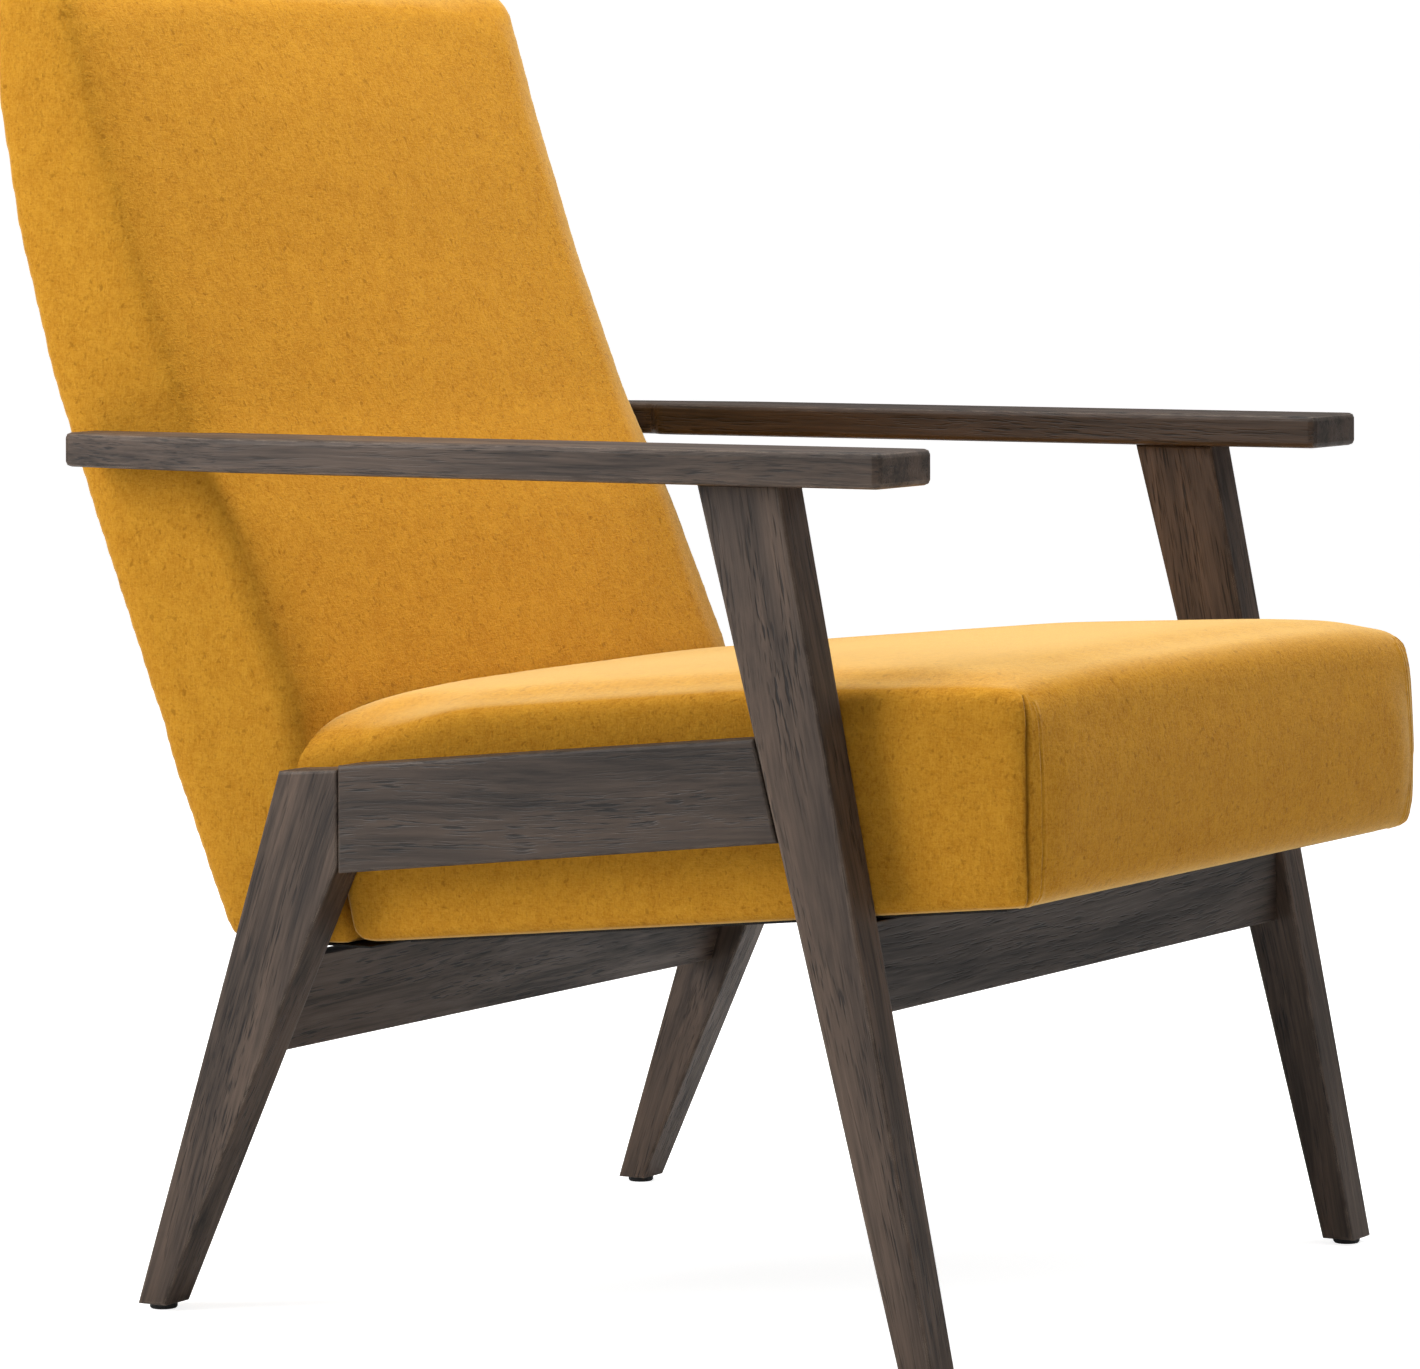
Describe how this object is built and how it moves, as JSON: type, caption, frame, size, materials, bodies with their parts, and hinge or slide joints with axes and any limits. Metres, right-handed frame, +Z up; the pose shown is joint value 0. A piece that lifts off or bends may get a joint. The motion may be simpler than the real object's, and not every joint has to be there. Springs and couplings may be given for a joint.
{
  "type": "armchair",
  "caption": "Upholstered lounge armchair: dark stained wooden side frames with flat armrests and splayed legs, box seat and gently curved back in mustard wool felt.",
  "frame": {"origin": "on the floor, under the middle of the chair's outline", "axes": "+Z up; the sitter faces -Y; +X is the sitter's left"},
  "size_m": [0.7054, 0.816, 0.905],
  "materials": {
    "stained_wood": "satin",
    "felt": "matte",
    "beech": "matte",
    "foam": "matte",
    "webbing": "matte",
    "steel": "satin",
    "glide": "matte"
  },
  "bodies": {
    "root": {"arm_bolt_left": "steel", "arm_bolt_right": "steel", "arm_dowel_1_left": "beech", "arm_dowel_1_right": "beech", "arm_dowel_2_left": "beech", "arm_dowel_2_right": "beech", "armrest_left": "stained_wood", "armrest_right": "stained_wood", "back_bolt_left": "steel", "back_bolt_right": "steel", "back_cover": "felt", "back_dust_cloth": "webbing", "back_foam": "foam", "back_frame_bottom": "beech", "back_frame_top": "beech", "back_stile_left": "beech", "back_stile_right": "beech", "back_strap_1": "webbing", "back_strap_2": "webbing", "back_strap_3": "webbing", "back_strap_4": "webbing", "corner_block_front_left": "beech", "corner_block_front_right": "beech", "corner_block_rear_left": "beech", "corner_block_rear_right": "beech", "front_apron": "stained_wood", "front_glide_left": "glide", "front_glide_right": "glide", "front_leg_left": "stained_wood", "front_leg_right": "stained_wood", "rail_front_dowel_lower_left": "beech", "rail_front_dowel_lower_right": "beech", "rail_front_dowel_upper_left": "beech", "rail_front_dowel_upper_right": "beech", "rail_rear_dowel_lower_left": "beech", "rail_rear_dowel_lower_right": "beech", "rail_rear_dowel_upper_left": "beech", "rail_rear_dowel_upper_right": "beech", "rear_apron": "stained_wood", "rear_glide_left": "glide", "rear_glide_right": "glide", "rear_leg_left": "stained_wood", "rear_leg_right": "stained_wood", "seat_bolt_front_left": "steel", "seat_bolt_front_right": "steel", "seat_bolt_rear_left": "steel", "seat_bolt_rear_right": "steel", "seat_cover": "felt", "seat_dust_cloth": "webbing", "seat_foam": "foam", "seat_frame_front": "beech", "seat_frame_rear": "beech", "seat_frame_side_left": "beech", "seat_frame_side_right": "beech", "seat_strap_1": "webbing", "seat_strap_2": "webbing", "seat_strap_3": "webbing", "seat_strap_4": "webbing", "side_rail_left": "stained_wood", "side_rail_right": "stained_wood"}
  },
  "joints": []
}
